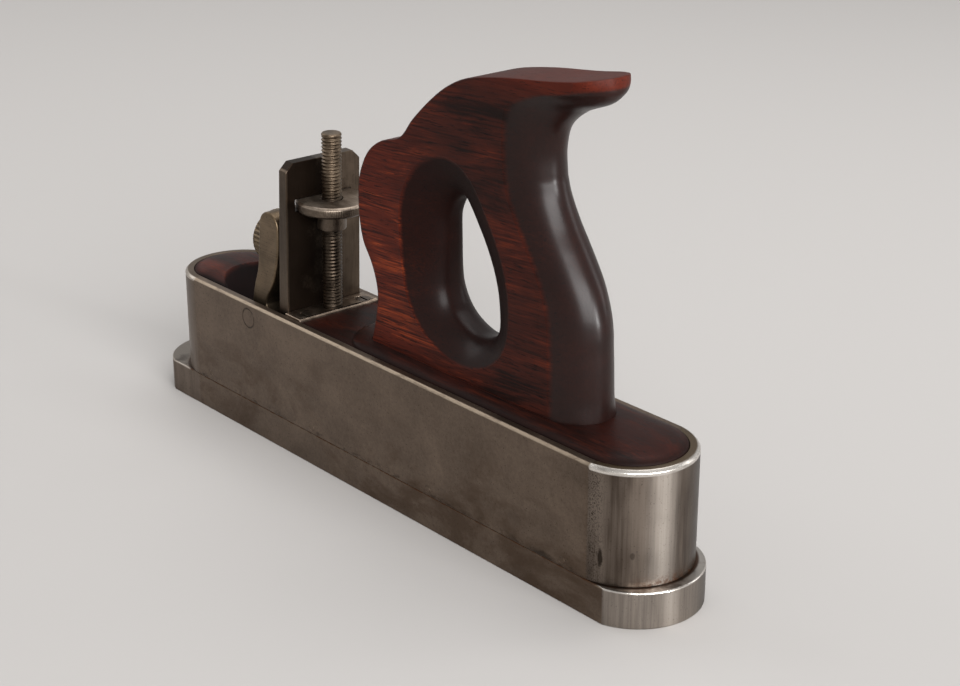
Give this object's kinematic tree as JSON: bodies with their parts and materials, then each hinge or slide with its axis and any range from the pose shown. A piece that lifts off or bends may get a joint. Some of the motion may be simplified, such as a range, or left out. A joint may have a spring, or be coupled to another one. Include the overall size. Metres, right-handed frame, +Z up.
{
  "type": "infill bench plane with a closed handle and an upright iron",
  "caption": "Steel infill plane with rounded ends, rosewood closed handle, near-upright iron, screw adjuster and pinned lever cap.",
  "frame": {"origin": "on the floor under the middle of the sole", "axes": "+X along the sole towards the heel, +Y to the right of the worker who pushes the plane towards -X, +Z up"},
  "size_m": [0.268, 0.0414, 0.1608],
  "materials": {
    "patinated_steel": "old bright steel with a grey brown patina",
    "dark_steel": "dark oiled steel",
    "iron_steel": "smooth worn steel",
    "rosewood": "dark polished rosewood",
    "aged_brass": "dull brown brass"
  },
  "bodies": {
    "plane_body": {"sole_plate": "patinated_steel", "side_casing": "patinated_steel", "casing_rivets": "patinated_steel", "toe_infill": "rosewood", "rear_infill": "rosewood", "toe_infill_screws": "dark_steel", "rear_infill_screws": "dark_steel", "handle": "rosewood", "handle_screws": "dark_steel", "bed_plate": "dark_steel", "bed_plate_screws": "dark_steel", "bridge_plate": "patinated_steel", "bridge_screws": "dark_steel", "adjusting_rod": "dark_steel", "cross_pin": "patinated_steel"},
    "iron": {"iron": "iron_steel"},
    "adjusting_nut": {"adjusting_nut": "dark_steel"},
    "lever_cap": {"lever_cap": "patinated_steel"},
    "cap_screw": {"cap_screw_shank": "dark_steel"},
    "cap_screw_head": {"cap_screw_head": "aged_brass"}
  },
  "joints": [
    {"name": "nut_turn", "type": "hinge", "parent": "iron", "child": "adjusting_nut", "pos_m": [-0.04085, 0, 0.09017], "axis": [0.0349, 0, 0.9994], "range_deg": [-226.7, 2834.6]},
    {"name": "iron_slide", "type": "slide", "parent": "plane_body", "child": "iron", "axis": [0.0349, 0, 0.9994], "range_m": [-0.0008, 0.01]},
    {"name": "cap_tilt", "type": "hinge", "parent": "plane_body", "child": "lever_cap", "pos_m": [-0.06574, 0, 0.04509], "axis": [0, 1, 0], "range_deg": [0, 1.8]},
    {"name": "cap_screw_travel", "type": "slide", "parent": "lever_cap", "child": "cap_screw", "axis": [-0.9983, 0, 0.0576], "range_m": [0, 0.00075]},
    {"name": "cap_screw_turn", "type": "hinge", "parent": "cap_screw", "child": "cap_screw_head", "pos_m": [-0.07054, 0, 0.06941], "axis": [-0.9983, 0, 0.0576], "range_deg": [0, 270.1]}
  ],
  "couplings": [
    {"joint": "nut_turn", "follows": "iron_slide", "rad_per_m": 4947.4},
    {"joint": "cap_screw_turn", "follows": "cap_screw_travel", "rad_per_m": 6283.2},
    {"joint": "cap_tilt", "follows": "cap_screw_travel", "rad_per_m": 41.667}
  ]
}
